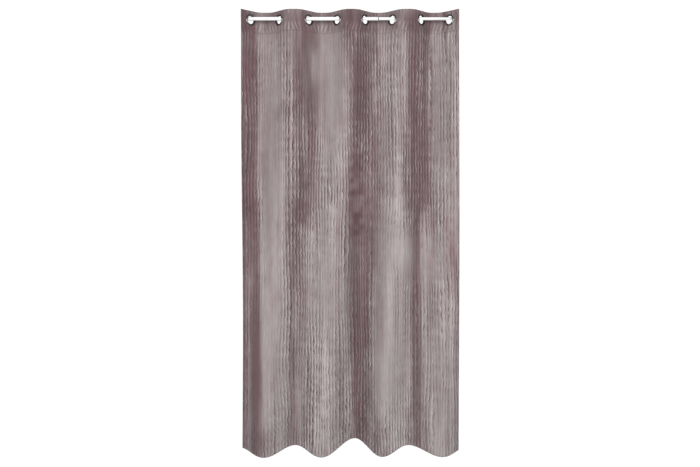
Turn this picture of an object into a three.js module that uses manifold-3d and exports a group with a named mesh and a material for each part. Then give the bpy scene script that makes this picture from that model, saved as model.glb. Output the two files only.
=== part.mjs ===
// Eyelet curtain panel on a telescopic rod. Millimetres, +Z up, front towards -Y, X along the rod.
// The origin is on the rod's axis, halfway along the panel.
import * as THREE from 'three';
import { mergeVertices } from 'three/addons/utils/BufferGeometryUtils.js';
import Module from 'manifold-3d';

// Drop
const TOP_ABOVE_ROD = 43;
const HEM_BELOW_ROD = 2460;

// Eyelets along the rod, each a little off an even pitch
const EYELET_PITCH = 158;
const EYELET_WANDER = [1, 3, 8, 8, 4, -2, -1, -3];
const LEFT_MARGIN = 45; // from the outer eyelets to the panel's edges
const RIGHT_MARGIN = 47;

// Folds at the header, front and back by turns, with a front fold at both side edges
const HEAD_WANDER = [0, -2, 7, 10, 2, 0, -2, -5, 0, 0];
const HEAD_FOLD_Y = 42;
const RING_SLOPE = 0.96; // how steeply the cloth crosses the rod
const FLAT_MARGIN = 2.6; // flat cloth left around a ring's flange

// Folds at the hem, half a wave further left than at the header
const HEM_FLARE = 0.05; // the folds open a little towards the floor
const HEM_WANDER = [14.5, 13.6, 11.7, 13.8, 3.9, 30, 15.1, 8.2, 24.3, 26.4];
const HEM_FOLD_Y = [-55, 62, -58, 50, -58, 92, -55, 50, -55, 60];
const HEM_RISE = [2, 2, 0, 22, 2, 43, 4, 22, 3, 6];
const DRIFT_START = 40; // the drift starts this far under the header
const WAVE_START = 170; // and the folds are plain waves from here

// Cloth layers
const CLOTH_T = 2.0;
const TAPE_T = 0.8;
const FACING_T = 1.2;
const LAYER_GAP = 0.3;
const HEADER_DEPTH = 115;
const HEM_DEPTH = 70;
const STRIP_GAP = 0.4;
const EDGE_TRIM = 0.5; // inner layers stop short of the panel's edges
const SIDE_HEM_GAP = 1;

// Rod
const ROD_R = 10;
const ROD_WALL = 1.2;
const TUBE_CLEARANCE = 0.3;
const INNER_WALL = 1.0;
const OUTER_LENGTH = 745;
const TUBE_OVERLAP = 405;
const ROD_INSET = 7; // from the panel's edges to the tube ends
const COLLAR_T = 4; // bush in the mouth of the outer tube
const PLUG_T = 6;
const PLUG_LIP = 1;
const PLUG_SPIGOT = 16;
const ROD_SEGMENTS = 24;

// Eyelet rings
const BORE_PLAY = 6.56; // room in the bore beside the rod, which crosses it at a slant
const REST_CLEARANCE = 4; // left above the rod, so that the slanted barrel clears it
const BORE_ROUND = 6;
const FLANGE_WIDTH = 10;
const FLANGE_T = 3.2;
const BARREL_WALL = 1.6;
const CLOTH_CLEARANCE = 0.4;
const WASHER_WIDTH = 9;
const WASHER_T = 2.2;
const WASHER_CLEARANCE = 0.3;
const BARREL_RECESS = 0.2; // the barrel ends this far inside the washer's back
const RING_SEGMENTS = 20;

const velvet = new THREE.MeshStandardMaterial({ color: 0x8a7a7c, roughness: 0.85, metalness: 0 });
const tapeCloth = new THREE.MeshStandardMaterial({ color: 0xd8d3cf, roughness: 0.9, metalness: 0 });
const nickel = new THREE.MeshStandardMaterial({ color: 0x77777a, roughness: 0.2, metalness: 1 });
const lacquer = new THREE.MeshStandardMaterial({ color: 0xe9e9ea, roughness: 0.3, metalness: 0 });
const bush = new THREE.MeshStandardMaterial({ color: 0x8c8c8e, roughness: 0.5, metalness: 0 });
const rubber = new THREE.MeshStandardMaterial({ color: 0xdededc, roughness: 0.7, metalness: 0 });

const slantedRodR = (ROD_R * Math.hypot(1, RING_SLOPE)) / RING_SLOPE; // seen along a ring's axis
const boreR = slantedRodR + BORE_PLAY;
const flangeR = boreR + FLANGE_WIDTH;
const washerR = boreR + WASHER_WIDTH;
const barrelR = boreR + BARREL_WALL;
const ringDrop = boreR - ROD_R - REST_CLEARANCE; // the rings' centres hang under the rod's axis
const ringFlat = flangeR / Math.hypot(1, RING_SLOPE) + FLAT_MARGIN; // half the stretch a ring holds flat

const eyeletX = EYELET_WANDER.map((off, i) => (i - 3.5) * EYELET_PITCH + off);
const leftEdge = eyeletX[0] - LEFT_MARGIN;
const rightEdge = eyeletX[eyeletX.length - 1] + RIGHT_MARGIN;
const headFoldX = HEAD_WANDER.map((off, k) => (k - 4) * EYELET_PITCH + off);
headFoldX[0] = leftEdge;
headFoldX[eyeletX.length] = rightEdge;
const hemFoldX = HEM_WANDER.map((off, k) => (k - 5) * EYELET_PITCH * (1 + HEM_FLARE) + off);

const headerFoot = TOP_ABOVE_ROD - HEADER_DEPTH;
const ringFoot = -ringDrop - flangeR;
const straightFrom = headerFoot - DRIFT_START;
const cosineFrom = headerFoot - WAVE_START;

const mix = (a, b, t) => a + (b - a) * t;
const clamp01 = (t) => Math.min(1, Math.max(0, t));
const smooth = (t) => t * t * (3 - 2 * t);

const wasm = await Module();
wasm.setup();

// How far down the drop a height is, 0 in the header and 1 at the hem.
function dropShare(z) {
  return clamp01((straightFrom - z) / (straightFrom + HEM_BELOW_ROD));
}

function foldX(k, z) {
  const s = dropShare(z);
  return mix(headFoldX[k], hemFoldX[k], mix(s, smooth(s), 0.5));
}

function foldY(k, z) {
  const head = k % 2 === 0 ? -HEAD_FOLD_Y : HEAD_FOLD_Y;
  const s = dropShare(z);
  return mix(head, HEM_FOLD_Y[k], s) * (1 - 0.1 * Math.sin(Math.PI * s));
}

// The stiff header: flat through each ring, rounded between rings.
function headerY(x) {
  let k = 0;
  while (k < eyeletX.length - 1 && x > headFoldX[k + 1]) {
    k += 1;
  }
  const from = x - eyeletX[k];
  const side = Math.sign(from) * (k % 2 === 0 ? 1 : -1);
  const reach = Math.abs(from);
  if (reach <= ringFlat) {
    return side * RING_SLOPE * reach;
  }
  const end = from < 0 ? eyeletX[k] - headFoldX[k] : headFoldX[k + 1] - eyeletX[k];
  const span = end - ringFlat;
  const rest = HEAD_FOLD_Y - RING_SLOPE * ringFlat;
  const u = clamp01((reach - ringFlat) / span);
  const start = Math.min(3, (RING_SLOPE * span) / rest);
  const eased = (3 - 2 * u) * u * u + start * u * (1 - u) * (1 - u);
  return side * (RING_SLOPE * ringFlat + rest * eased);
}

// The plain waves below the header, value[k] eased from fold to fold.
function waveValue(x, z, value) {
  let k = 0;
  while (k < headFoldX.length - 2 && x > foldX(k + 1, z)) {
    k += 1;
  }
  const t = clamp01((x - foldX(k, z)) / (foldX(k + 1, z) - foldX(k, z)));
  return mix(value(k), value(k + 1), 0.5 - 0.5 * Math.cos(Math.PI * t));
}

function depthAt(x, z) {
  const w = smooth(clamp01((z - cosineFrom) / (straightFrom - cosineFrom)));
  const wave = w < 1 ? waveValue(x, z, (k) => foldY(k, z)) : 0;
  return w > 0 ? mix(wave, headerY(x), w) : wave;
}

function hemRise(x) {
  return waveValue(x, -HEM_BELOW_ROD, (k) => HEM_RISE[k]);
}

// A point of the cloth: u is its x at the header, z its height before the hem's rise,
// and layer how far it stands behind the middle of the cloth stack.
function clothPoint(u, z, layer) {
  const x = u * (1 + HEM_FLARE * dropShare(z));
  const share = clamp01((cosineFrom - z) / (cosineFrom + HEM_BELOW_ROD));
  const rise = share > 0 ? hemRise(x) * share : 0;
  const slope = depthAt(x + 0.5, z) - depthAt(x - 0.5, z);
  const size = Math.hypot(slope, 1);
  return new THREE.Vector3(x - (slope / size) * layer, depthAt(x, z) + layer / size, z + rise);
}

// A closed sheet between two layers over a grid of columns (u) and rows (z, falling).
function sheet(columns, rows, front, back) {
  const points = [];
  for (const layer of [front, back]) {
    for (const z of rows) {
      for (const u of columns) {
        const p = clothPoint(u, z, layer);
        points.push(p.x, p.y, p.z);
      }
    }
  }
  const nu = columns.length;
  const nz = rows.length;
  const at = (side, r, c) => (side * nz + r) * nu + c;
  const faces = [];
  const quad = (a, b, c, d) => faces.push(a, b, c, a, c, d);
  for (let r = 0; r < nz - 1; r += 1) {
    for (let c = 0; c < nu - 1; c += 1) {
      quad(at(0, r, c), at(0, r + 1, c), at(0, r + 1, c + 1), at(0, r, c + 1));
      quad(at(1, r, c), at(1, r, c + 1), at(1, r + 1, c + 1), at(1, r + 1, c));
    }
    quad(at(0, r, 0), at(1, r, 0), at(1, r + 1, 0), at(0, r + 1, 0));
    quad(at(0, r, nu - 1), at(0, r + 1, nu - 1), at(1, r + 1, nu - 1), at(1, r, nu - 1));
  }
  for (let c = 0; c < nu - 1; c += 1) {
    quad(at(0, 0, c), at(0, 0, c + 1), at(1, 0, c + 1), at(1, 0, c));
    quad(at(0, nz - 1, c), at(1, nz - 1, c), at(1, nz - 1, c + 1), at(0, nz - 1, c + 1));
  }
  const geometry = new THREE.BufferGeometry();
  geometry.setAttribute('position', new THREE.Float32BufferAttribute(points, 3));
  geometry.setIndex(faces);
  return geometry;
}

function solidOf(geometry) {
  const bare = new THREE.BufferGeometry();
  bare.setAttribute('position', geometry.getAttribute('position'));
  bare.setIndex(geometry.getIndex());
  const merged = mergeVertices(bare, 1e-4);
  const mesh = new wasm.Mesh({
    numProp: 3,
    vertProperties: Float32Array.from(merged.getAttribute('position').array),
    triVerts: Uint32Array.from(merged.getIndex().array),
  });
  return new wasm.Manifold(mesh);
}

function geometryOf(solid) {
  const mesh = solid.getMesh();
  const geometry = new THREE.BufferGeometry();
  geometry.setAttribute('position', new THREE.Float32BufferAttribute(mesh.vertProperties, 3));
  geometry.setIndex(Array.from(mesh.triVerts));
  geometry.computeVertexNormals();
  return geometry;
}

// A turned shape about +Y from a closed outline of [radius, height], counter-clockwise.
function turned(outline, segments) {
  const profile = [...outline, outline[0]].map(([r, h]) => new THREE.Vector2(r, h));
  return mergeVertices(stripped(new THREE.LatheGeometry(profile, segments)), 1e-4);
}

function stripped(geometry) {
  geometry.deleteAttribute('uv');
  geometry.deleteAttribute('normal');
  return geometry;
}

const panel = new THREE.Group();
panel.name = 'curtain_panel';

function add(name, geometry, material, parent = panel) {
  geometry.computeVertexNormals();
  const mesh = new THREE.Mesh(geometry, material);
  mesh.name = name;
  parent.add(mesh);
  return mesh;
}

// Each ring's frame: +Y of the ring points back through the cloth.
function ringFrame(i) {
  const frame = new THREE.Group();
  frame.position.set(eyeletX[i], 0, -ringDrop);
  frame.rotation.z = Math.atan(RING_SLOPE) * (i % 2 === 0 ? 1 : -1);
  return frame;
}

function clothHole(i) {
  const holeR = barrelR + CLOTH_CLEARANCE;
  const through = 4 * (CLOTH_T + TAPE_T + FACING_T);
  const cutter = stripped(new THREE.CylinderGeometry(holeR, holeR, through, RING_SEGMENTS));
  const frame = ringFrame(i);
  frame.updateMatrix();
  cutter.applyMatrix4(frame.matrix);
  return solidOf(cutter);
}

// Columns across one fold's strip, with the ring's flat stretch on columns of its own.
function columnsOf(i) {
  const left = headFoldX[i] + (i > 0 ? STRIP_GAP / 2 : 0);
  const right = headFoldX[i + 1] - (i < eyeletX.length - 1 ? STRIP_GAP / 2 : 0);
  const a = eyeletX[i] - ringFlat;
  const b = eyeletX[i] + ringFlat;
  return [left, mix(left, a, 0.34), mix(left, a, 0.67), a, eyeletX[i], b,
    mix(b, right, 0.33), mix(b, right, 0.66), right];
}

function rowsBetween(from, to, count) {
  return Array.from({ length: count + 1 }, (_, n) => mix(from, to, n / count));
}

const panelFront = -(CLOTH_T + TAPE_T + FACING_T + 2 * LAYER_GAP) / 2;
const panelBack = panelFront + CLOTH_T;
const tapeFront = panelBack + LAYER_GAP;
const facingFront = tapeFront + TAPE_T + LAYER_GAP;
const stackBack = facingFront + FACING_T;
const hemTop = -HEM_BELOW_ROD + HEM_DEPTH;
const middleRows = [straightFrom, ...rowsBetween(straightFrom, cosineFrom, 2).slice(1),
  ...rowsBetween(cosineFrom, hemTop, 8).slice(1)];
const rows = [TOP_ABOVE_ROD, mix(ringFoot, headerFoot, 0.2), headerFoot, ...middleRows, -HEM_BELOW_ROD];

for (let i = 0; i < eyeletX.length; i += 1) {
  const n = i + 1;
  const columns = columnsOf(i);
  const hole = clothHole(i);
  const cut = (geometry) => geometryOf(solidOf(geometry).subtract(hole));
  add(`panel_fold_${n}`, cut(sheet(columns, rows, panelFront, panelBack)), velvet);
  const headerRows = [TOP_ABOVE_ROD - EDGE_TRIM, ...rows.slice(1, 3)];
  add(`header_tape_${n}`, cut(sheet(columns, headerRows, tapeFront, tapeFront + TAPE_T)), tapeCloth);
  add(`header_facing_${n}`, cut(sheet(columns, headerRows, facingFront, stackBack)), velvet);
  const hemRows = [hemTop, -HEM_BELOW_ROD + EDGE_TRIM];
  add(`bottom_hem_${n}`, sheet(columns, hemRows, tapeFront, tapeFront + FACING_T), velvet);
}

// Side hems, turned to the back between the header facing and the bottom hem
const sideRows = [headerFoot - SIDE_HEM_GAP, ...middleRows.slice(0, -1), hemTop + SIDE_HEM_GAP];
const sides = {
  side_hem_left: columnsOf(0).slice(0, 4),
  side_hem_right: columnsOf(eyeletX.length - 1).slice(5),
};
for (const [name, columns] of Object.entries(sides)) {
  add(name, sheet(columns, sideRows, tapeFront, tapeFront + FACING_T), velvet);
}

// One eyelet: a rounded flange with its barrel in front, and a washer behind
function boreRadius(y) {
  const lean = Math.max(-0.98, Math.min(0.53, y / BORE_ROUND));
  return boreR + BORE_ROUND * (1 - Math.sqrt(1 - lean * lean));
}

const flangeBack = panelFront - LAYER_GAP;
const flangeFront = flangeBack - FLANGE_T;
const washerFront = stackBack + LAYER_GAP;
const washerBack = washerFront + WASHER_T;
const washerBore = barrelR + WASHER_CLEARANCE;
const barrelEnd = washerBack - BARREL_RECESS;
const ringOutline = [
  ...[barrelEnd, 0, flangeBack, flangeFront + FLANGE_T / 4].map((y) => [boreRadius(y), y]),
  [flangeR - 0.45 * FLANGE_WIDTH, flangeFront],
  [flangeR - 0.26 * FLANGE_WIDTH, flangeFront + 0.16 * FLANGE_T],
  [flangeR, flangeBack - 0.28 * FLANGE_T],
  [flangeR - 0.3, flangeBack],
  [barrelR, flangeBack],
  [barrelR, barrelEnd],
];
const washerOutline = [
  [washerBore, washerFront],
  [washerR, washerFront],
  [washerR - 0.8, washerBack],
  [washerBore + 0.6, washerBack],
];
for (let i = 0; i < eyeletX.length; i += 1) {
  const frame = ringFrame(i);
  frame.name = `eyelet_${i + 1}`;
  panel.add(frame);
  add(`eyelet_ring_${i + 1}`, turned(ringOutline, RING_SEGMENTS), nickel, frame);
  add(`eyelet_washer_${i + 1}`, turned(washerOutline, RING_SEGMENTS), nickel, frame);
}

// The rod's pieces are turned about their own +Y, then laid along X.
function alongX(name, outline, material) {
  add(name, turned(outline, ROD_SEGMENTS), material).rotation.z = -Math.PI / 2;
}

const tube = (r, wall, from, to) => [[r, from], [r, to], [r - wall, to], [r - wall, from]];
const innerR = ROD_R - ROD_WALL - TUBE_CLEARANCE;
const outerFrom = leftEdge + ROD_INSET;
const outerTo = outerFrom + OUTER_LENGTH;
const innerTo = rightEdge - ROD_INSET;
alongX('rod_outer_tube', tube(ROD_R, ROD_WALL, outerFrom, outerTo), lacquer);
alongX('rod_inner_tube', tube(innerR, INNER_WALL, outerTo - TUBE_OVERLAP, innerTo), lacquer);
const collarFrom = outerTo + LAYER_GAP;
const collarWall = ROD_R - innerR - TUBE_CLEARANCE;
alongX('rod_collar', tube(ROD_R, collarWall, collarFrom, collarFrom + COLLAR_T), bush);

// An end pad: a spigot inside the tube and a wider face past its end.
function plug(name, end, sense, tubeBore) {
  const spigotR = tubeBore - TUBE_CLEARANCE;
  const spigotEnd = end - sense * PLUG_SPIGOT;
  const face = end + sense * LAYER_GAP;
  const outer = face + sense * PLUG_T;
  const padR = ROD_R + PLUG_LIP;
  const outline = [
    [0, spigotEnd],
    [spigotR, spigotEnd],
    [spigotR, face],
    [padR, face],
    [padR, outer - sense * PLUG_LIP],
    [padR - PLUG_LIP, outer],
    [0, outer],
  ];
  const points = (sense > 0 ? outline : outline.reverse()).map(([r, h]) => new THREE.Vector2(r, h));
  const turnedPlug = mergeVertices(stripped(new THREE.LatheGeometry(points, ROD_SEGMENTS)), 1e-4);
  add(name, turnedPlug, rubber).rotation.z = -Math.PI / 2;
}

plug('rod_left_plug', outerFrom, -1, ROD_R - ROD_WALL);
plug('rod_right_plug', innerTo, 1, innerR - INNER_WALL);

export default panel;
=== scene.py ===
# Crinkled velvet curtain panel with nickel eyelets, hung on a white telescopic rod.
import bmesh
import bpy
import math
import numpy as np
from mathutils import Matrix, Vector


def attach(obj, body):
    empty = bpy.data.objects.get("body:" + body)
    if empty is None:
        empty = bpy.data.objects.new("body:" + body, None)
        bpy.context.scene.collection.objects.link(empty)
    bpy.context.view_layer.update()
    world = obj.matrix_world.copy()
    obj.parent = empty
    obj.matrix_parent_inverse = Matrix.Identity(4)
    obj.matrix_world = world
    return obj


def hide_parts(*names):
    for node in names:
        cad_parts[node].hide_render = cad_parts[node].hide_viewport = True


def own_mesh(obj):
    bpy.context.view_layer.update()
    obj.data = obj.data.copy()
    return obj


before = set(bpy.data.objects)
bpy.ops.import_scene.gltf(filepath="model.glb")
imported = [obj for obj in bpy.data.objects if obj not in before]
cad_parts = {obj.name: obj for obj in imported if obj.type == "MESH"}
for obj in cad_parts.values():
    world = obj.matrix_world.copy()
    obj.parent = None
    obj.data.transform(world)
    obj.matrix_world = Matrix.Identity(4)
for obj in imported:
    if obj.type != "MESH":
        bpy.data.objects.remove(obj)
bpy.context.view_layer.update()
print("frame loaded")

# How the panel hangs, in metres, with the origin on the rod's axis
hang = {
    "topAboveRod": 0.043,
    "hemBelowRod": 2.460,
    "halfWidth": 0.597,
    "hemFlare": 0.05,
    "headerDepth": 0.115,
    "hemDepth": 0.070,
    "sideHemWidth": 0.029,
    "eyeletX": [-0.552, -0.392, -0.229, -0.071, 0.083, 0.235, 0.394, 0.550],
    "headFoldX": [-0.597, -0.476, -0.309, -0.148, 0.002, 0.158, 0.314, 0.469, 0.597, 0.790],
    "hemFoldX": [-0.815, -0.650, -0.486, -0.318, -0.162, 0.030, 0.181, 0.340, 0.522, 0.690],
    "headFoldY": 0.042,
    "hemFoldY": [-0.055, 0.062, -0.058, 0.050, -0.058, 0.092, -0.055, 0.050, -0.055, 0.060],
    "hemRise": [0.002, 0.002, 0.0, 0.022, 0.002, 0.043, 0.004, 0.022, 0.003, 0.006],
    "ringFlat": 0.025,
    "ringSlope": 0.96,
    "ringDrop": 0.007,
    "holeAcross": 0.0278,   # half sizes, hidden by the flange; drawing the panel narrows the first
    "holeDown": 0.0255,
    "backRelief": 0.6,   # share of the front's ridges that shows behind
    "drawKeep": 0.24,    # share of the width that is left when the panel is drawn
}
headerFoot = hang["topAboveRod"] - hang["headerDepth"]
straightFrom = headerFoot - 0.040
cosineFrom = headerFoot - 0.170


def smoothStep(t):
    t = np.clip(t, 0, 1)
    return t * t * (3 - 2 * t)


def dropShare(z):
    return np.clip((straightFrom - z) / (straightFrom + hang["hemBelowRod"]), 0, 1)


def foldPlace(k, z):
    s = dropShare(z)
    s = 0.5 * s + 0.5 * smoothStep(s)
    return hang["headFoldX"][k] * (1 - s) + hang["hemFoldX"][k] * s


def foldDepth(k, z):
    head = hang["headFoldY"] * (-1 if k % 2 == 0 else 1)
    s = dropShare(z)
    return (head * (1 - s) + hang["hemFoldY"][k] * s) * (1 - 0.1 * np.sin(np.pi * s))


# The stiffened header is flat through each ring and rounded between rings
def headerDepthAt(x):
    out = np.zeros_like(x)
    edges, rings = hang["headFoldX"], hang["eyeletX"]
    flat, slope, most = hang["ringFlat"], hang["ringSlope"], hang["headFoldY"]
    for k, ring in enumerate(rings):
        here = (x > edges[k]) if k else np.ones_like(x, bool)
        here &= (x <= edges[k + 1]) if k < len(rings) - 1 else True
        away = x - ring
        side = np.sign(away) * (1 if k % 2 == 0 else -1)
        reach = np.abs(away)
        end = np.where(away < 0, ring - edges[k], edges[k + 1] - ring)
        span, rest = end - flat, most - slope * flat
        u = np.clip((reach - flat) / span, 0, 1)
        start = np.minimum(3, slope * span / rest)
        eased = (3 - 2 * u) * u * u + start * u * (1 - u) ** 2
        depth = np.where(reach <= flat, slope * reach, slope * flat + rest * eased)
        out[here] = (side * depth)[here]
    return out


# Plain waves from fold to fold, for depth or for anything else that each fold has its own value of
def waveValue(x, z, valueOf):
    out = np.zeros_like(x)
    last = len(hang["headFoldX"]) - 2
    for k in range(last + 1):
        left, right = foldPlace(k, z), foldPlace(k + 1, z)
        here = (x > left) if k else np.ones_like(x, bool)
        here &= (x <= right) if k < last else True
        t = np.clip((x - left) / (right - left), 0, 1)
        e = 0.5 - 0.5 * np.cos(np.pi * t)
        out[here] = (valueOf(k, z) * (1 - e) + valueOf(k + 1, z) * e)[here]
    return out


def depthAt(x, z):
    w = smoothStep((z - cosineFrom) / (straightFrom - cosineFrom))
    return waveValue(x, z, foldDepth) * (1 - w) + headerDepthAt(x) * w


def hemLift(x):
    bottom = np.full_like(x, -hang["hemBelowRod"])
    return waveValue(x, bottom, lambda k, z: np.full_like(z, hang["hemRise"][k]))


# Smooth random values over a lattice, the same on each run
def softNoise(a, b, seed):
    rng = np.random.default_rng(seed)
    lattice = rng.uniform(-1, 1, (257, 257))
    ia, ib = np.floor(a).astype(int), np.floor(b).astype(int)
    fa, fb = smoothStep(a - ia), smoothStep(b - ib)
    pick = lambda i, j: lattice[i % 257, j % 257]
    low = pick(ia, ib) * (1 - fa) + pick(ia + 1, ib) * fa
    high = pick(ia, ib + 1) * (1 - fa) + pick(ia + 1, ib + 1) * fa
    return low * (1 - fb) + high * fb


# The crinkle: thin upright ridges with short wobbles, which fade and start again
crinkle = {
    "ridgePitch": 0.0160,
    "wobble": 0.0022,        # sideways, over a finger's width of height
    "wobbleWidth": 0.019,
    "wobbleLength": 0.017,
    "wander": 0.0085,        # sideways, over a third of a metre, which spreads and crowds the ridges
    "wanderWidth": 0.043,
    "wanderLength": 0.33,
    "height": 0.0036,
    "seed": 11,
    # calmer, shinier places: across, down, half width, half height, how much calmer
    "calm": [
        (-0.43, 1.30, 0.062, 1.25, 0.80),
        (-0.09, 0.45, 0.060, 0.42, 0.80),
        (-0.22, 0.30, 0.090, 0.22, 0.60),
        (0.185, 1.85, 0.052, 0.68, 0.68),
        (0.035, 1.05, 0.045, 0.30, 0.55),
        (0.42, 1.38, 0.130, 0.14, 0.60),
        (0.29, 1.34, 0.055, 0.10, 0.60),
        (-0.11, 1.45, 0.050, 0.35, 0.50),
        (0.50, 2.10, 0.050, 0.45, 0.45),
        (-0.52, 1.90, 0.040, 0.60, 0.50),
    ],
}


def crinkleAt(u, drop):
    c = crinkle
    wobble = softNoise(u / c["wobbleWidth"], drop / c["wobbleLength"], c["seed"])
    wobble += 0.5 * softNoise(u / 0.010, drop / 0.013, c["seed"] + 1)
    wander = softNoise(u / c["wanderWidth"], drop / c["wanderLength"], c["seed"] + 2)
    phase = (u + c["wobble"] * wobble + c["wander"] * wander) / c["ridgePitch"]
    crest = (0.5 + 0.5 * np.cos(2 * np.pi * phase)) ** 3.5
    groove = (0.5 - 0.5 * np.cos(2 * np.pi * (phase + 0.20))) ** 5
    split = (0.5 + 0.5 * np.cos(2 * np.pi * (1.9 * phase + 0.5 * wobble))) ** 3
    ridge = np.round(phase)
    rank = softNoise(ridge * 0.73 + 3, drop / 0.25, c["seed"] + 5)
    life = 0.5 + 0.9 * softNoise(ridge * 0.57 + 40, drop / 0.024, c["seed"] + 3)
    cut = 0.5 + 0.9 * softNoise(ridge * 0.61 + 90, drop / 0.021, c["seed"] + 6)
    zone = 0.88 + 0.55 * softNoise(u / 0.10 + 9, drop / 0.40, c["seed"] + 4)
    for placeU, placeDrop, wide, high, less in c["calm"]:
        zone -= less * np.exp(-((u - placeU) / wide) ** 4 - ((drop - placeDrop) / high) ** 4)
    zone = np.clip(zone, 0.12, 1.15)
    strong = np.clip(0.22 + 0.70 * life + 0.40 * rank, 0.05, 1.2)
    deep = np.clip(0.25 + 0.75 * cut + 0.35 * rank, 0.05, 1.2)
    return (crest * strong + 0.30 * split * (1.2 - strong)) * zone, groove * deep * zone, zone


print("fold shape ready")


# The same value for the front point and the back point of the cloth
def setAttribute(mesh, label, values, used):
    attribute = mesh.attributes.new(label, "FLOAT", "POINT")
    both = np.concatenate([values.ravel(), values.ravel()])
    attribute.data.foreach_set("value", both[used].astype(np.float32))


# A closed cloth sheet over a grid, with a front and a back, and holes where the rings sit
def clothSheet(name, across, heights, front, back, relief=None, holes=True):
    u, z = np.meshgrid(across, heights)
    x = u * (1 + hang["hemFlare"] * dropShare(z))
    rise = hemLift(x) * np.clip((cosineFrom - z) / (cosineFrom + hang["hemBelowRod"]), 0, 1)
    y = depthAt(x, z)
    step = 0.0005
    slope = (depthAt(x + step, z) - depthAt(x - step, z)) / (2 * step)
    size = np.hypot(slope, 1)
    nx, ny = -slope / size, 1 / size
    drop = hang["topAboveRod"] - z
    lift = relief(u, drop) if relief is not None else np.zeros_like(u)
    sides = []
    for layer, share in ((front, 1.0), (back, hang["backRelief"])):
        off = layer - lift * share
        sides.append(np.stack([x + nx * off, y + ny * off, z + rise], -1).reshape(-1, 3))
    points = np.concatenate(sides)
    rows, columns = u.shape
    keep = np.ones((rows - 1, columns - 1), bool)
    if holes:
        midU = 0.5 * (u[:-1, :-1] + u[1:, 1:])
        midZ = 0.5 * (z[:-1, :-1] + z[1:, 1:])
        stretch = math.hypot(1, hang["ringSlope"])
        for ring in hang["eyeletX"]:
            awayAcross = (midU - ring) * stretch / hang["holeAcross"]
            awayDown = (midZ + hang["ringDrop"]) / hang["holeDown"]
            keep &= np.hypot(awayAcross, awayDown) > 1
    at = np.arange(rows * columns).reshape(rows, columns)
    a, b, c, d = at[:-1, :-1], at[1:, :-1], at[1:, 1:], at[:-1, 1:]
    perSide = rows * columns
    faces = [np.stack([a, b, c, d], -1)[keep], np.stack([a, d, c, b], -1)[keep] + perSide]
    padded = np.pad(keep, 1)
    openAbove = keep & ~padded[:-2, 1:-1]
    openBelow = keep & ~padded[2:, 1:-1]
    openLeft = keep & ~padded[1:-1, :-2]
    openRight = keep & ~padded[1:-1, 2:]
    for mask, p, q in ((openAbove, a, d), (openBelow, c, b), (openLeft, b, a), (openRight, d, c)):
        faces.append(np.stack([p, q, q + perSide, p + perSide], -1)[mask])
    faces = np.concatenate(faces)
    used = np.unique(faces)
    renumber = np.full(2 * perSide, -1)
    renumber[used] = np.arange(len(used))
    mesh = bpy.data.meshes.new(name)
    mesh.from_pydata(points[used].tolist(), [], renumber[faces].tolist())
    setAttribute(mesh, "clothAcross", u, used)
    setAttribute(mesh, "clothDown", drop, used)
    backSide = mesh.attributes.new("backSide", "FLOAT", "POINT")
    backSide.data.foreach_set("value", (used >= perSide).astype(np.float32))
    mesh.shade_smooth()
    piece = bpy.data.objects.new(name, mesh)
    bpy.context.collection.objects.link(piece)
    return piece, used


# Cloth layers, in metres from the middle of the header's stack
layers = {"cloth": 0.0020, "tape": 0.0008, "facing": 0.0012, "gap": 0.0003}
stack = layers["cloth"] + layers["tape"] + layers["facing"] + 2 * layers["gap"]
panelFront = -stack / 2
panelBack = panelFront + layers["cloth"]
tapeFront = panelBack + layers["gap"]
facingFront = tapeFront + layers["tape"] + layers["gap"]
facingBack = facingFront + layers["facing"]


# Gathers in the stiff header, strongest around the rod, and a dent along each seam
def headerPucker(u, drop):
    wave = 0.5 + 0.5 * np.cos(2 * np.pi * (u / 0.0195 + 0.5 * softNoise(u / 0.05, drop / 0.06, 31)))
    alive = 0.55 + 0.45 * softNoise(u / 0.03 + 4, drop / 0.05, 33)
    place = np.exp(-((drop - 0.088) / 0.022) ** 4) + 0.5 * np.exp(-((drop - 0.008) / 0.012) ** 2)
    return wave ** 2 * alive * place


def seamDent(drop):
    hemSeam = hang["topAboveRod"] + hang["hemBelowRod"] - hang["hemDepth"]
    dent = np.exp(-((drop - hang["headerDepth"]) / 0.0040) ** 2)
    return dent, np.exp(-((drop - hemSeam) / 0.0030) ** 2)


def velvetRelief(u, drop):
    crest, groove, zone = crinkleAt(u, drop)
    below = smoothStep((drop - 0.100) / 0.05)     # the header is stiffened, so it crinkles less
    lift = crinkle["height"] * (crest - 0.45 * groove) * (0.20 + 0.80 * below)
    headerSeam, hemSeam = seamDent(drop)
    lift += 0.0016 * headerPucker(u, drop) - 0.0008 * headerSeam - 0.0003 * hemSeam
    edge = np.minimum(hang["halfWidth"] - np.abs(u), 0.004) / 0.004
    return lift * np.clip(edge, 0, 1)


panelGrid = {"columns": 640, "rows": 460}
across = np.linspace(-hang["halfWidth"], hang["halfWidth"], panelGrid["columns"] + 1)
heights = np.linspace(hang["topAboveRod"], -hang["hemBelowRod"], panelGrid["rows"] + 1)
velvetPanel, panelUsed = clothSheet("velvetPanel", across, heights, panelFront, panelBack, velvetRelief)
print("velvet panel:", len(velvetPanel.data.vertices), "points")

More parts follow.
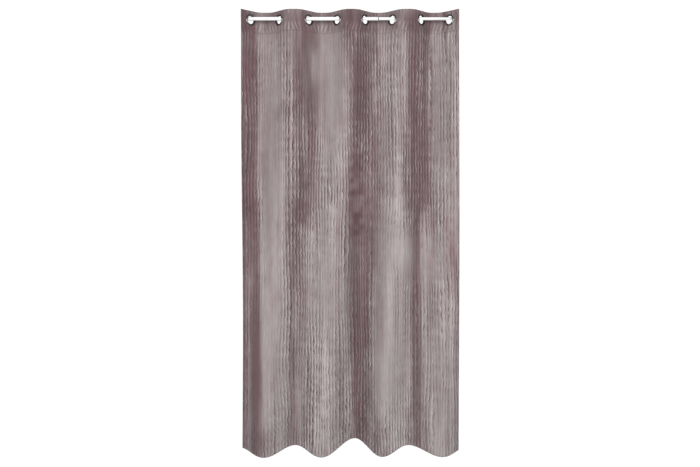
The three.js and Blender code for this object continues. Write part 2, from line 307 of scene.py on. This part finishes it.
# The inner layers stop a little short of the panel's edges
sideInset = 0.001
endInset = 0.0008
hemTop = -hang["hemBelowRod"] + hang["hemDepth"]
hemBack = tapeFront + layers["facing"]
innerHalf = hang["halfWidth"] - sideInset
fineAcross = np.linspace(-innerHalf, innerHalf, 301)
headerHeights = np.linspace(hang["topAboveRod"] - endInset, headerFoot, 25)
headerTape, _ = clothSheet("headerTape", fineAcross, headerHeights, tapeFront, tapeFront + layers["tape"])
headerFacing, _ = clothSheet("headerFacing", fineAcross, headerHeights, facingFront, facingBack)
hemHeights = np.linspace(hemTop, -hang["hemBelowRod"] + endInset, 15)
bottomHem, _ = clothSheet("bottomHem", fineAcross, hemHeights, tapeFront, hemBack, holes=False)
sideHeights = np.linspace(headerFoot - sideInset, hemTop + sideInset, 200)
sideHems = []
for name, side in (("sideHemLeft", -1), ("sideHemRight", 1)):
    ends = sorted([side * innerHalf, side * (hang["halfWidth"] - hang["sideHemWidth"])])
    hem, _ = clothSheet(name, np.linspace(*ends, 9), sideHeights, tapeFront, hemBack, holes=False)
    sideHems.append(hem)
print("header and hems made")


# Rings, washers and the rod are turned from an outline of (radius, height)
def turnedPiece(name, outline, segments, closed=True):
    outline = np.array(outline, float)
    angle = np.linspace(0, 2 * math.pi, segments, endpoint=False)
    r, h = outline[:, 0][:, None], outline[:, 1][:, None]
    along = np.broadcast_to(h, (len(outline), segments))
    points = np.stack([r * np.cos(angle), along, r * np.sin(angle)], -1)
    at = np.arange(len(outline) * segments).reshape(len(outline), segments)
    nextRow = np.roll(at, -1, 0) if closed else at[1:]
    row = at if closed else at[:-1]
    faces = np.stack([row, np.roll(row, -1, 1), np.roll(nextRow, -1, 1), nextRow], -1)
    faces = faces.reshape(-1, 4).tolist()
    if not closed:
        faces += [at[0][::-1].tolist(), at[-1].tolist()]
    mesh = bpy.data.meshes.new(name)
    mesh.from_pydata(points.reshape(-1, 3).tolist(), [], faces)
    mesh.update()
    piece = bpy.data.objects.new(name, mesh)
    bpy.context.collection.objects.link(piece)
    faceOut(piece)
    return piece


def faceOut(piece):
    work = bmesh.new()
    work.from_mesh(piece.data)
    bmesh.ops.recalc_face_normals(work, faces=work.faces)
    work.to_mesh(piece.data)
    work.free()
    piece.data.shade_smooth()


eyelet = {
    "bore": 0.021,
    "boreRound": 0.006,
    "roundEnd": 0.0032,     # how far behind the middle the bore's rounding reaches
    "flange": 0.031,
    "flangeThick": 0.0032,
    "barrelWall": 0.0016,
    "washer": 0.030,
    "washerThick": 0.0022,
    "segments": 96,
}


def eyeletOutlines():
    e = eyelet
    flangeBack = panelFront - layers["gap"]
    flangeFront = flangeBack - e["flangeThick"]
    washerFront = facingBack + layers["gap"]
    barrelEnd = washerFront + e["washerThick"] - 0.0002
    barrel = e["bore"] + e["barrelWall"]
    boreAt = lambda h: e["bore"] + e["boreRound"] - math.sqrt(e["boreRound"] ** 2 - h * h)
    throatPlaces = np.linspace(min(barrelEnd, e["roundEnd"]), flangeFront + 0.0009, 12)
    throat = [(boreAt(h), h) for h in throatPlaces]
    throat = [(boreAt(e["roundEnd"]), barrelEnd)] + throat
    crown = [
        (e["bore"] + 0.0042, flangeFront + 0.0003),
        (e["bore"] + 0.0058, flangeFront),
        (e["flange"] - 0.0030, flangeFront + 0.0003),
        (e["flange"] - 0.0012, flangeFront + 0.0012),
        (e["flange"] - 0.0002, flangeFront + 0.0023),
        (e["flange"], flangeBack - 0.0004),
        (e["flange"] - 0.0003, flangeBack),
    ]
    ring = throat + crown + [(barrel, flangeBack), (barrel, barrelEnd)]
    hole = barrel + layers["gap"]
    washerBack = washerFront + e["washerThick"]
    washer = [
        (hole, washerFront),
        (e["washer"] - 0.0003, washerFront),
        (e["washer"], washerFront + 0.0004),
        (e["washer"] - 0.0004, washerBack - 0.0004),
        (e["washer"] - 0.0014, washerBack),
        (hole + 0.0008, washerBack),
        (hole, washerBack - 0.0006),
    ]
    return ring, washer


ringOutline, washerOutline = eyeletOutlines()
rings, washers = [], []
for number, ringX in enumerate(hang["eyeletX"], 1):
    lean = math.atan(hang["ringSlope"]) * (1 if number % 2 else -1)
    for kind, outline, keepIn in (("eyeletRing", ringOutline, rings),
                                  ("eyeletWasher", washerOutline, washers)):
        piece = turnedPiece(f"{kind}{number}", outline, eyelet["segments"])
        piece.rotation_euler = (0, 0, lean)
        piece.location = (ringX, 0, -hang["ringDrop"])
        keepIn.append(piece)
print("eyelets made")

rod = {
    "outer": 0.010,
    "outerWall": 0.0012,
    "inner": 0.0085,
    "innerWall": 0.0010,
    "outerFrom": -0.590,
    "outerTo": 0.155,
    "innerFrom": -0.250,
    "innerTo": 0.590,
    "collarThick": 0.004,
    "plugThick": 0.006,
    "plugSpigot": 0.016,
    "plugProud": 0.001,
    "plugChamfer": 0.001,
    "plugMiddle": 0.0006,   # where the turned outline stops short of the axis
    "gap": 0.0003,
    "segments": 72,
}


def tubeOutline(radius, wall, start, end):
    soft = wall * 0.3
    return [(radius - soft, start), (radius, start + soft), (radius, end - soft), (radius - soft, end),
            (radius - wall + soft, end), (radius - wall, end - soft), (radius - wall, start + soft),
            (radius - wall + soft, start)]


def plugOutline(holeRadius, end, sense):
    r = rod
    face = end + sense * r["gap"]
    outer = face + sense * r["plugThick"]
    rim = r["outer"] + r["plugProud"]
    spigot = holeRadius - r["gap"]
    spigotEnd = end - sense * r["plugSpigot"]
    soft = 0.0004
    return [
        (r["plugMiddle"], spigotEnd),
        (spigot - r["plugChamfer"], spigotEnd),
        (spigot, spigotEnd + sense * r["plugChamfer"]),
        (spigot, face),
        (rim - soft, face),
        (rim, face + sense * soft),
        (rim, outer - sense * 3 * soft),
        (rim - soft, outer - sense * soft),
        (rim - 0.0013, outer),
        (rim - 0.0045, outer),
        (rim - 0.0050, outer - sense * soft),
        (r["plugMiddle"], outer - sense * soft),
    ]


def tubePiece(name, radius, wall, start, end):
    return turnedPiece(name, tubeOutline(radius, wall, start, end), rod["segments"])


def padPiece(name, holeRadius, end, sense):
    outline = plugOutline(holeRadius, end, sense)
    return turnedPiece(name, outline, rod["segments"], closed=False)


collarFrom = rod["outerTo"] + rod["gap"]
collarTo = collarFrom + rod["collarThick"]
collarWall = rod["outer"] - rod["inner"] - rod["gap"]
tubes = {
    "rodOuterTube": (rod["outer"], rod["outerWall"], rod["outerFrom"], rod["outerTo"]),
    "rodInnerTube": (rod["inner"], rod["innerWall"], rod["innerFrom"], rod["innerTo"]),
    "rodCollar": (rod["outer"], collarWall, collarFrom, collarTo),
}
rodPieces = {name: tubePiece(name, *sizes) for name, sizes in tubes.items()}
rodPieces |= {
    "rodLeftPad": padPiece("rodLeftPad", rod["outer"] - rod["outerWall"], rod["outerFrom"], -1),
    "rodRightPad": padPiece("rodRightPad", rod["inner"] - rod["innerWall"], rod["innerTo"], 1),
}
for piece in rodPieces.values():
    piece.rotation_euler = (0, 0, -math.pi / 2)
print("rod made")


# Materials
def newMaterial(name):
    material = bpy.data.materials.new(name)
    material.use_nodes = True
    nodes = material.node_tree.nodes
    nodes.clear()
    output = nodes.new("ShaderNodeOutputMaterial")
    shader = nodes.new("ShaderNodeBsdfPrincipled")
    material.node_tree.links.new(shader.outputs["BSDF"], output.inputs["Surface"])
    return material, nodes, material.node_tree.links, shader


def attributeNode(nodes, label):
    node = nodes.new("ShaderNodeAttribute")
    node.attribute_type = "GEOMETRY"
    node.attribute_name = label
    return node.outputs["Fac"]


def mathNode(nodes, links, operation, a, b=None, c=None, clamp=False):
    node = nodes.new("ShaderNodeMath")
    node.operation = operation
    node.use_clamp = clamp
    for socket, value in zip(node.inputs, (a, b, c)):
        if value is None:
            continue
        if hasattr(value, "is_output"):
            links.new(value, socket)
        else:
            socket.default_value = value
    return node.outputs[0]


def clothCoordinates(nodes, links):
    join = nodes.new("ShaderNodeCombineXYZ")
    links.new(attributeNode(nodes, "clothAcross"), join.inputs["X"])
    links.new(attributeNode(nodes, "clothDown"), join.inputs["Y"])
    return join.outputs["Vector"]


def noiseNode(nodes, links, vector, stretch, scale, detail=3.0, roughness=0.55):
    mapping = nodes.new("ShaderNodeMapping")
    mapping.inputs["Scale"].default_value = stretch
    links.new(vector, mapping.inputs["Vector"])
    noise = nodes.new("ShaderNodeTexNoise")
    noise.inputs["Scale"].default_value = scale
    noise.inputs["Detail"].default_value = detail
    noise.inputs["Roughness"].default_value = roughness
    links.new(mapping.outputs["Vector"], noise.inputs["Vector"])
    return noise.outputs["Fac"]


def rampNode(nodes, links, value, stops):
    ramp = nodes.new("ShaderNodeValToRGB")
    links.new(value, ramp.inputs["Fac"])
    while len(ramp.color_ramp.elements) < len(stops):
        ramp.color_ramp.elements.new(0.5)
    for element, (place, colour) in zip(ramp.color_ramp.elements, stops):
        element.position = place
        element.color = (*colour, 1)
    return ramp.outputs["Color"]


# Fine relief in the finish, from a pattern to the shader's normal
def addBump(nodes, links, shader, pattern, strength, depth):
    bump = nodes.new("ShaderNodeBump")
    bump.inputs["Strength"].default_value = strength
    bump.inputs["Distance"].default_value = depth
    links.new(pattern, bump.inputs["Height"])
    links.new(bump.outputs["Normal"], shader.inputs["Normal"])


# Adds a pattern to a shade, above and below its own middle
def varied(nodes, links, shade, pattern, amount, clamp=False):
    centred = mathNode(nodes, links, "SUBTRACT", pattern, 0.5)
    return mathNode(nodes, links, "MULTIPLY_ADD", centred, amount, shade, clamp=clamp)


velvet = {
    "deep": (0.072, 0.044, 0.049),
    "dark": (0.128, 0.092, 0.096),
    "middle": (0.212, 0.173, 0.176),
    "light": (0.315, 0.277, 0.277),
    "palest": (0.430, 0.388, 0.385),
    "rose": (0.150, 0.072, 0.080),    # where the pile is pushed the other way, and as a tint in the painted shade
    "roughness": 0.85,
    "sheen": 0.18,
    "sheenRoughness": 0.45,
    "sheenTint": (0.84, 0.82, 0.83, 1),
    "specular": 0.25,
    "streaks": 0.26,
    "mottle": 0.16,
    "pile": 0.10,
}


def crinkledVelvet():
    material, nodes, links, shader = newMaterial("crinkledVelvet")
    place = clothCoordinates(nodes, links)
    # the tone holds the pile's own tone and also painted shade and painted light
    tone = attributeNode(nodes, "pileAndShadeTone")
    streak = noiseNode(nodes, links, place, (1, 0.05, 1), 260, 3)
    mottle = noiseNode(nodes, links, place, (1, 0.45, 1), 26, 4)
    pile = noiseNode(nodes, links, place, (1, 0.6, 1), 900, 2)
    v = velvet
    shade = varied(nodes, links, tone, streak, v["streaks"])
    shade = varied(nodes, links, shade, mottle, v["mottle"])
    shade = varied(nodes, links, shade, pile, v["pile"], clamp=True)
    stops = [(0.0, "deep"), (0.28, "dark"), (0.52, "middle"), (0.76, "light"), (1.0, "palest")]
    colour = rampNode(nodes, links, shade, [(place, v[label]) for place, label in stops])
    mix = nodes.new("ShaderNodeMix")
    mix.data_type = "RGBA"
    links.new(attributeNode(nodes, "roseTone"), mix.inputs["Factor"])
    links.new(colour, mix.inputs["A"])
    mix.inputs["B"].default_value = (*v["rose"], 1)
    links.new(mix.outputs["Result"], shader.inputs["Base Color"])
    shader.inputs["Roughness"].default_value = v["roughness"]
    shader.inputs["Sheen Weight"].default_value = v["sheen"]
    shader.inputs["Sheen Roughness"].default_value = v["sheenRoughness"]
    shader.inputs["Sheen Tint"].default_value = v["sheenTint"]
    shader.inputs["Specular IOR Level"].default_value = v["specular"]
    relief = mathNode(nodes, links, "MULTIPLY_ADD", streak, 0.7, pile)
    addBump(nodes, links, shader, relief, 0.35, 0.0006)
    return material


def wovenCloth(name, light, dark):
    material, nodes, links, shader = newMaterial(name)
    place = clothCoordinates(nodes, links)
    wave = []
    for direction in ("X", "Y"):
        weave = nodes.new("ShaderNodeTexWave")
        weave.bands_direction = direction
        weave.inputs["Scale"].default_value = 190
        weave.inputs["Distortion"].default_value = 0.6
        links.new(place, weave.inputs["Vector"])
        wave.append(weave.outputs["Fac"])
    grid = mathNode(nodes, links, "MULTIPLY", wave[0], wave[1])
    slub = noiseNode(nodes, links, place, (1, 0.2, 1), 90, 3)
    slubs = mathNode(nodes, links, "MULTIPLY", slub, 0.7)
    value = mathNode(nodes, links, "MULTIPLY_ADD", grid, 0.4, slubs, clamp=True)
    links.new(rampNode(nodes, links, value, [(0.1, dark), (0.8, light)]), shader.inputs["Base Color"])
    shader.inputs["Roughness"].default_value = 0.9
    shader.inputs["Specular IOR Level"].default_value = 0.2
    addBump(nodes, links, shader, grid, 0.4, 0.0004)
    return material


def polishedNickel():
    material, nodes, links, shader = newMaterial("polishedNickel")
    place = nodes.new("ShaderNodeTexCoord").outputs["Object"]
    haze = noiseNode(nodes, links, place, (1, 1, 1), 220, 4)
    rub = noiseNode(nodes, links, place, (1, 6, 1), 500, 2)
    greys = [(0.3, (0.100, 0.100, 0.102)), (0.7, (0.165, 0.165, 0.168))]
    links.new(rampNode(nodes, links, haze, greys), shader.inputs["Base Color"])
    shader.inputs["Metallic"].default_value = 1
    links.new(mathNode(nodes, links, "MULTIPLY_ADD", rub, 0.12, 0.06), shader.inputs["Roughness"])
    return material


def whiteLacquer():
    material, nodes, links, shader = newMaterial("whiteLacquer")
    place = nodes.new("ShaderNodeTexCoord").outputs["Object"]
    ripple = noiseNode(nodes, links, place, (1, 1, 1), 700, 3)
    rubbed = noiseNode(nodes, links, place, (1, 0.06, 1), 60, 3)
    whites = [(0.3, (0.74, 0.74, 0.75)), (0.75, (0.82, 0.82, 0.825))]
    links.new(rampNode(nodes, links, rubbed, whites), shader.inputs["Base Color"])
    links.new(mathNode(nodes, links, "MULTIPLY_ADD", rubbed, 0.15, 0.18), shader.inputs["Roughness"])
    shader.inputs["Coat Weight"].default_value = 0.4
    shader.inputs["Coat Roughness"].default_value = 0.12
    addBump(nodes, links, shader, ripple, 0.08, 0.0002)
    return material


def mouldedPlastic(name, dark, light, roughness):
    material, nodes, links, shader = newMaterial(name)
    place = nodes.new("ShaderNodeTexCoord").outputs["Object"]
    grain = noiseNode(nodes, links, place, (1, 1, 1), 900, 3)
    links.new(rampNode(nodes, links, grain, [(0.3, dark), (0.7, light)]), shader.inputs["Base Color"])
    links.new(mathNode(nodes, links, "MULTIPLY_ADD", grain, 0.2, roughness), shader.inputs["Roughness"])
    addBump(nodes, links, shader, grain, 0.3, 0.0003)
    return material


# Tone of the velvet, darker or lighter than the base: partly the pile's own tone, partly painted shade
# and painted light of the folds.
# A band is (across at its top, across at its foot, half width, lightness, first height, last height),
# measured down from the top edge.
napAndShade = {
    "base": 0.53,
    "atTop": -0.033,    # lighter towards the hem
    "atHem": 0.042,
    # the bands are painted shade and painted light of the folds, with some of the pile's own tone
    "bands": [
        (-0.568, -0.548, 0.036, -0.30, 0.00, 1.15),
        (-0.538, -0.505, 0.034, -0.40, 1.05, 2.60),
        (-0.600, -0.600, 0.034, -0.14, 0.20, 1.10),
        (-0.600, -0.600, 0.034, -0.36, 1.00, 1.85),
        (-0.600, -0.600, 0.034, -0.22, 1.80, 2.60),
        (-0.420, -0.412, 0.074, 0.13, 0.11, 2.60),
        (-0.240, -0.262, 0.070, -0.27, 0.05, 1.20),
        (-0.300, -0.322, 0.036, -0.12, 1.10, 2.60),
        (-0.090, -0.088, 0.060, 0.14, 0.11, 1.15),
        (-0.130, -0.120, 0.100, 0.15, 1.05, 2.60),
        (0.055, 0.055, 0.070, -0.32, 0.00, 1.30),
        (0.056, 0.050, 0.056, -0.32, 1.20, 2.60),
        (0.138, 0.138, 0.026, -0.14, 0.10, 1.50),
        (0.236, 0.232, 0.066, 0.16, 0.14, 1.15),
        (0.240, 0.250, 0.085, 0.17, 1.05, 2.60),
        (0.384, 0.380, 0.066, -0.33, 0.00, 1.15),
        (0.330, 0.334, 0.024, -0.16, 0.05, 0.62),
        (0.364, 0.374, 0.027, -0.32, 1.10, 2.60),
        (0.540, 0.535, 0.055, 0.05, 0.11, 1.15),
        (0.500, 0.500, 0.085, 0.12, 1.10, 2.60),
    ],
    # patches where the pile was pressed: across, down, half width, half height, lightness
    "patches": [
        (0.295, 1.34, 0.055, 0.090, 0.13),
        (-0.466, 1.60, 0.026, 0.360, 0.11),
        (0.450, 1.40, 0.068, 0.160, 0.06),
        (-0.20, 0.30, 0.030, 0.100, 0.22),
        (-0.36, 0.55, 0.050, 0.050, -0.10),
        (-0.16, 1.15, 0.045, 0.120, -0.10),
        (-0.31, 1.95, 0.040, 0.120, -0.12),
        (0.09, 2.05, 0.050, 0.150, 0.12),
        (0.16, 2.36, 0.028, 0.110, -0.16),
        (-0.46, 2.42, 0.060, 0.090, -0.20),
    ],
    # small pressed dabs: across, down, half width, half height, strength
    "dabs": (0.036, 1.00, 0.038, 0.28, 0.22),
    # rosy places: across, down, half width, half height, strength
    "rosy": [
        (-0.560, 0.30, 0.040, 0.28, 0.55),
        (-0.545, 1.10, 0.030, 0.60, 0.35),
        (0.560, 1.35, 0.040, 0.35, 0.45),
        (0.035, 1.00, 0.045, 0.26, 0.35),
        (-0.245, 0.12, 0.040, 0.06, 0.45),
        (0.440, 1.28, 0.030, 0.30, 0.30),
        (-0.500, 2.05, 0.030, 0.40, 0.45),
        (0.360, 0.60, 0.040, 0.50, 0.22),
    ],
    "header": -0.10,
    "mottle": 0.06,
    "brushed": 0.08,
    # painted highlight along the ridge crests and painted shade in the grooves
    "crest": 0.38,
    "groove": 0.50,
}


# One where x is inside the half width, falling off quickly at its edges
def inside(x, halfWidth, power=6):
    return np.exp(-np.abs(x / halfWidth) ** power)


# The velvet's tone: the pile's own tone with painted shade and painted light of folds, ridges and seams
def pileAndShadeTone(u, drop):
    n = napAndShade
    tone = n["base"] + n["atTop"] + (n["atHem"] - n["atTop"]) * drop / drop.max()
    ragged = 0.006 * softNoise(u / 0.05, drop / 0.22, 71)     # uneven edges to the bands
    ragged += 0.003 * softNoise(u / 0.02, drop / 0.05, 75)
    # each band paints fold shade (negative lightness) and fold light (positive lightness) onto the tone
    for top, foot, halfWidth, lightness, first, last in n["bands"]:
        share = np.clip((drop - first) / (last - first), 0, 1)
        middle = top * (1 - share) + foot * share + ragged
        ends = smoothStep((drop - first + 0.07) / 0.18) * smoothStep((last + 0.07 - drop) / 0.18)
        uneven = 0.88 + 0.24 * softNoise(drop / 0.30 + 9 * top, drop * 0 + 7, 72)
        tone += lightness * inside(u - middle, halfWidth, 4) * ends * uneven
    for placeU, placeDrop, wide, high, lightness in n["patches"]:
        acrossPatch = inside(u - placeU + ragged, wide, 3)
        tone += lightness * acrossPatch * inside(drop - placeDrop + ragged, high, 3)
    dabU, dabDrop, wide, high, strength = n["dabs"]
    dab = np.clip(1.4 * softNoise(u / 0.034 + 6, drop / 0.034, 76), -1, 1) - 0.25
    tone += strength * dab * inside(u - dabU, wide, 4) * inside(drop - dabDrop, high)
    crest, groove, zone = crinkleAt(u, drop)
    busy = 0.45 + 0.55 * zone
    brushed = np.clip(2.4 * softNoise((u + ragged) / 0.023 + 4, (drop + 2 * ragged) / 0.42, 78), -1, 1)
    tone += n["brushed"] * brushed * busy
    tone += n["mottle"] * softNoise(u / 0.05 + 5, drop / 0.24, 73) * busy
    tone += 0.7 * n["mottle"] * softNoise(u / 0.008 + 15, drop / 0.30, 74)
    header = 1 - smoothStep((drop - 0.096) / 0.022)
    tone += n["header"] * header * (1 + 0.8 * softNoise(u / 0.016, drop / 0.07, 77))
    # painted highlight on the header's pucker crests and painted shade in the seam dent
    tone += 0.42 * (headerPucker(u, drop) - 0.16 * header) - 0.10 * seamDent(drop)[0]
    body = 1 - 0.8 * header
    # painted highlight on the ridge crests and painted shade in the grooves
    tone += body * (n["crest"] * (crest - 0.24 * zone) - n["groove"] * (groove - 0.15 * zone))
    return np.clip(tone, 0, 1)


# Rosy tint at the listed pile places, and over the darker tone, which tints the painted shade
def roseTone(u, drop, tone):
    rose = np.zeros_like(u)
    for placeU, placeDrop, wide, high, strength in napAndShade["rosy"]:
        rose += strength * inside(u - placeU, wide, 3) * inside(drop - placeDrop, high, 3)
    rose *= 0.6 + 0.6 * softNoise(u / 0.014 + 2, drop / 0.12, 81)
    rose += 0.14 * np.clip(softNoise(u / 0.03 + 8, drop / 0.10, 82), 0, 1)
    # rosier where the tone is darker: a rosy tint on the painted shade
    rose += 0.30 * np.clip(0.50 - tone, 0, 0.4)
    return np.clip(rose, 0, 0.8)


gridU, gridZ = np.meshgrid(across, heights)
gridDrop = hang["topAboveRod"] - gridZ
# tone with painted shade and painted light as well as the pile's own tone
lightness = pileAndShadeTone(gridU, gridDrop)
setAttribute(velvetPanel.data, "pileAndShadeTone", lightness, panelUsed)
setAttribute(velvetPanel.data, "roseTone", roseTone(gridU, gridDrop, lightness), panelUsed)

velvetMaterial = crinkledVelvet()
backMaterial = wovenCloth("velvetBack", (0.36, 0.31, 0.315), (0.20, 0.165, 0.17))
tapeMaterial = wovenCloth("stiffTape", (0.80, 0.77, 0.74), (0.58, 0.55, 0.53))
nickelMaterial, lacquerMaterial = polishedNickel(), whiteLacquer()
padMaterial = mouldedPlastic("softPad", (0.50, 0.50, 0.49), (0.60, 0.60, 0.59), 0.55)
collarMaterial = mouldedPlastic("collarNylon", (0.085, 0.085, 0.088), (0.125, 0.125, 0.128), 0.40)

velvetPanel.data.materials.append(velvetMaterial)
velvetPanel.data.materials.append(backMaterial)
backSide = np.zeros(len(velvetPanel.data.vertices), np.float32)
velvetPanel.data.attributes["backSide"].data.foreach_get("value", backSide)
corners = np.zeros(len(velvetPanel.data.loops), np.int32)
velvetPanel.data.loops.foreach_get("vertex_index", corners)
isBack = (backSide[corners].reshape(-1, 4).min(1) > 0.5).astype(np.int32)
velvetPanel.data.polygons.foreach_set("material_index", isBack)
for piece in (headerFacing, bottomHem, *sideHems):
    piece.data.materials.append(backMaterial)
headerTape.data.materials.append(tapeMaterial)
for piece in rings + washers:
    piece.data.materials.append(nickelMaterial)
rodFinish = {"rodLeftPad": padMaterial, "rodRightPad": padMaterial, "rodCollar": collarMaterial}
for name, piece in rodPieces.items():
    piece.data.materials.append(rodFinish.get(name, lacquerMaterial))
print("materials made")

# What each piece rides on and stands for
strips = range(1, 9)
clothPieces = {
    velvetPanel: [f"panel_fold_{i}" for i in strips],
    headerTape: [f"header_tape_{i}" for i in strips],
    headerFacing: [f"header_facing_{i}" for i in strips],
    bottomHem: [f"bottom_hem_{i}" for i in strips],
    sideHems[0]: ["side_hem_left"],
    sideHems[1]: ["side_hem_right"],
}
for piece, stands in clothPieces.items():
    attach(piece, "rod")
    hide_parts(*stands)
    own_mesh(piece)
for i in strips:
    for kind, piece in (("ring", rings[i - 1]), ("washer", washers[i - 1])):
        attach(piece, f"eyelet_{i}")
        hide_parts(f"eyelet_{kind}_{i}")
for name, body, node, finish in (("rodOuterTube", "rod", "rod_outer_tube", "rod_lacquer"),
                                 ("rodCollar", "rod", "rod_collar", "collar_plastic"),
                                 ("rodLeftPad", "rod", "rod_left_plug", "plug_rubber"),
                                 ("rodInnerTube", "rod_extension", "rod_inner_tube", "rod_lacquer"),
                                 ("rodRightPad", "rod_extension", "rod_right_plug", "plug_rubber")):
    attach(rodPieces[name], body)
    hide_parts(node)
print("pieces ride on their bodies")

# Floor, sky and lights
studio = {
    "floorBelowHem": 0.06,
    "skyOnPiece": 0.40,
    "floorOnPiece": 0.35,
    "keyPower": 146,
    "fillPower": 110,
    "backPower": 130,
    "boxSize": (2.4, 2.8),
    "skyBrightness": 1.05,      # as the camera sees it
    "floorBrightness": 1.0,
    "floorRadius": 14,
}


def paleFloor():
    floorZ = -hang["hemBelowRod"] - studio["floorBelowHem"]
    angle = np.linspace(0, 2 * math.pi, 64, endpoint=False)
    radius = studio["floorRadius"]
    points = [(radius * math.cos(t), radius * math.sin(t), floorZ) for t in angle]
    mesh = bpy.data.meshes.new("paleFloor")
    mesh.from_pydata(points, [], [tuple(range(len(points)))])
    floor = bpy.data.objects.new("paleFloor", mesh)
    bpy.context.collection.objects.link(floor)
    material, nodes, links, shader = newMaterial("palePaper")
    shader.inputs["Base Color"].default_value = (0.05, 0.05, 0.05, 1)
    shader.inputs["Roughness"].default_value = 0.95
    shader.inputs["Specular IOR Level"].default_value = 0.0
    shader.inputs["Emission Color"].default_value = (1, 1, 1, 1)
    glow = seenBrightness(nodes, links, studio["floorOnPiece"], studio["floorBrightness"])
    links.new(glow, shader.inputs["Emission Strength"])
    mesh.materials.append(material)


# What the camera sees is brighter than what lights the piece
def seenBrightness(nodes, links, onPiece, toCamera):
    seen = nodes.new("ShaderNodeLightPath").outputs["Is Camera Ray"]
    return mathNode(nodes, links, "MULTIPLY_ADD", seen, toCamera - onPiece, onPiece)


def softLight(name, power, place, aim):
    data = bpy.data.lights.new(name, "AREA")
    data.energy = power
    data.shape = "RECTANGLE"
    data.size, data.size_y = studio["boxSize"]
    light = bpy.data.objects.new(name, data)
    bpy.context.collection.objects.link(light)
    light.location = place
    direction = Vector(aim) - Vector(place)
    light.rotation_euler = direction.to_track_quat("-Z", "Y").to_euler()


paleFloor()
world = bpy.data.worlds.new("softSky")
world.use_nodes = True
sky = world.node_tree.nodes["Background"]
sky.inputs["Color"].default_value = (1, 1, 1, 1)
skyLinks = world.node_tree.links
skyGlow = seenBrightness(world.node_tree.nodes, skyLinks, studio["skyOnPiece"], studio["skyBrightness"])
skyLinks.new(skyGlow, sky.inputs["Strength"])
bpy.context.scene.world = world
softLight("windowSoftbox", studio["keyPower"], (-1.7, -3.8, -0.3), (0, 0, -1.1))
softLight("frontFill", studio["fillPower"], (1.9, -3.7, -0.3), (0, 0, -1.2))
softLight("backSoftbox", studio["backPower"], (1.2, 3.9, -0.2), (0, 0, -1.2))

camera = {"away": 3.33, "height": -0.811, "pitch": 2.8, "lens": 30.5, "shiftUp": -0.056}
cameraData = bpy.data.cameras.new("viewCamera")
cameraData.lens = camera["lens"]
cameraData.sensor_width = 36
cameraData.shift_y = camera["shiftUp"]
viewCamera = bpy.data.objects.new("viewCamera", cameraData)
bpy.context.collection.objects.link(viewCamera)
viewCamera.location = (0, -camera["away"], camera["height"])
viewCamera.rotation_euler = (math.radians(90 - camera["pitch"]), 0, 0)
bpy.context.scene.camera = viewCamera
bpy.context.scene.view_settings.view_transform = "Standard"
print("studio ready")
